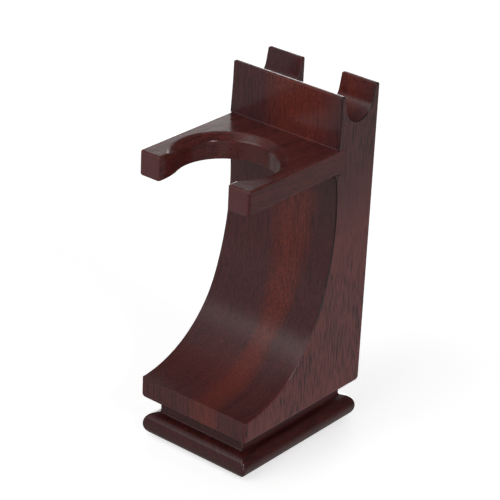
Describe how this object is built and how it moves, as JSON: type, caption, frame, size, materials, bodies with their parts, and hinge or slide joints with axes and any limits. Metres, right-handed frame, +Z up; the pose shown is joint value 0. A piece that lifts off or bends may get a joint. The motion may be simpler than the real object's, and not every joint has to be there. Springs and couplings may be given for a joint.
{
  "type": "razor stand",
  "caption": "Wooden stand on a round-nosed base: an open fork holds a shaving brush and a grooved top with a rear channel holds a safety razor.",
  "frame": {"origin": "centre of the felt's underside, where the stand rests on a table", "axes": "+Z up, +X to the right seen from the front, the front (fork and lip) towards -Y, the razor side towards +Y"},
  "size_m": [0.057, 0.0812, 0.1571],
  "materials": {
    "cheek_wood": "dark mahogany stain under a smooth satin-gloss lacquer",
    "core_wood": "dark mahogany stain under a smooth satin-gloss lacquer",
    "fork_wood": "dark mahogany stain under a smooth satin-gloss lacquer",
    "base_wood": "dark mahogany stain under a smooth satin-gloss lacquer",
    "dowel_wood": "plain birch dowel, unfinished",
    "screw_steel": "zinc-plated steel wood screw",
    "felt": "pressed black felt"
  },
  "bodies": {
    "root": {"left_cheek": "cheek_wood", "centre_board": "core_wood", "right_cheek": "cheek_wood", "brush_fork": "fork_wood", "fork_dowels": "dowel_wood", "base_board": "base_wood", "base_screws": "screw_steel", "felt_sheet": "felt"}
  },
  "joints": []
}
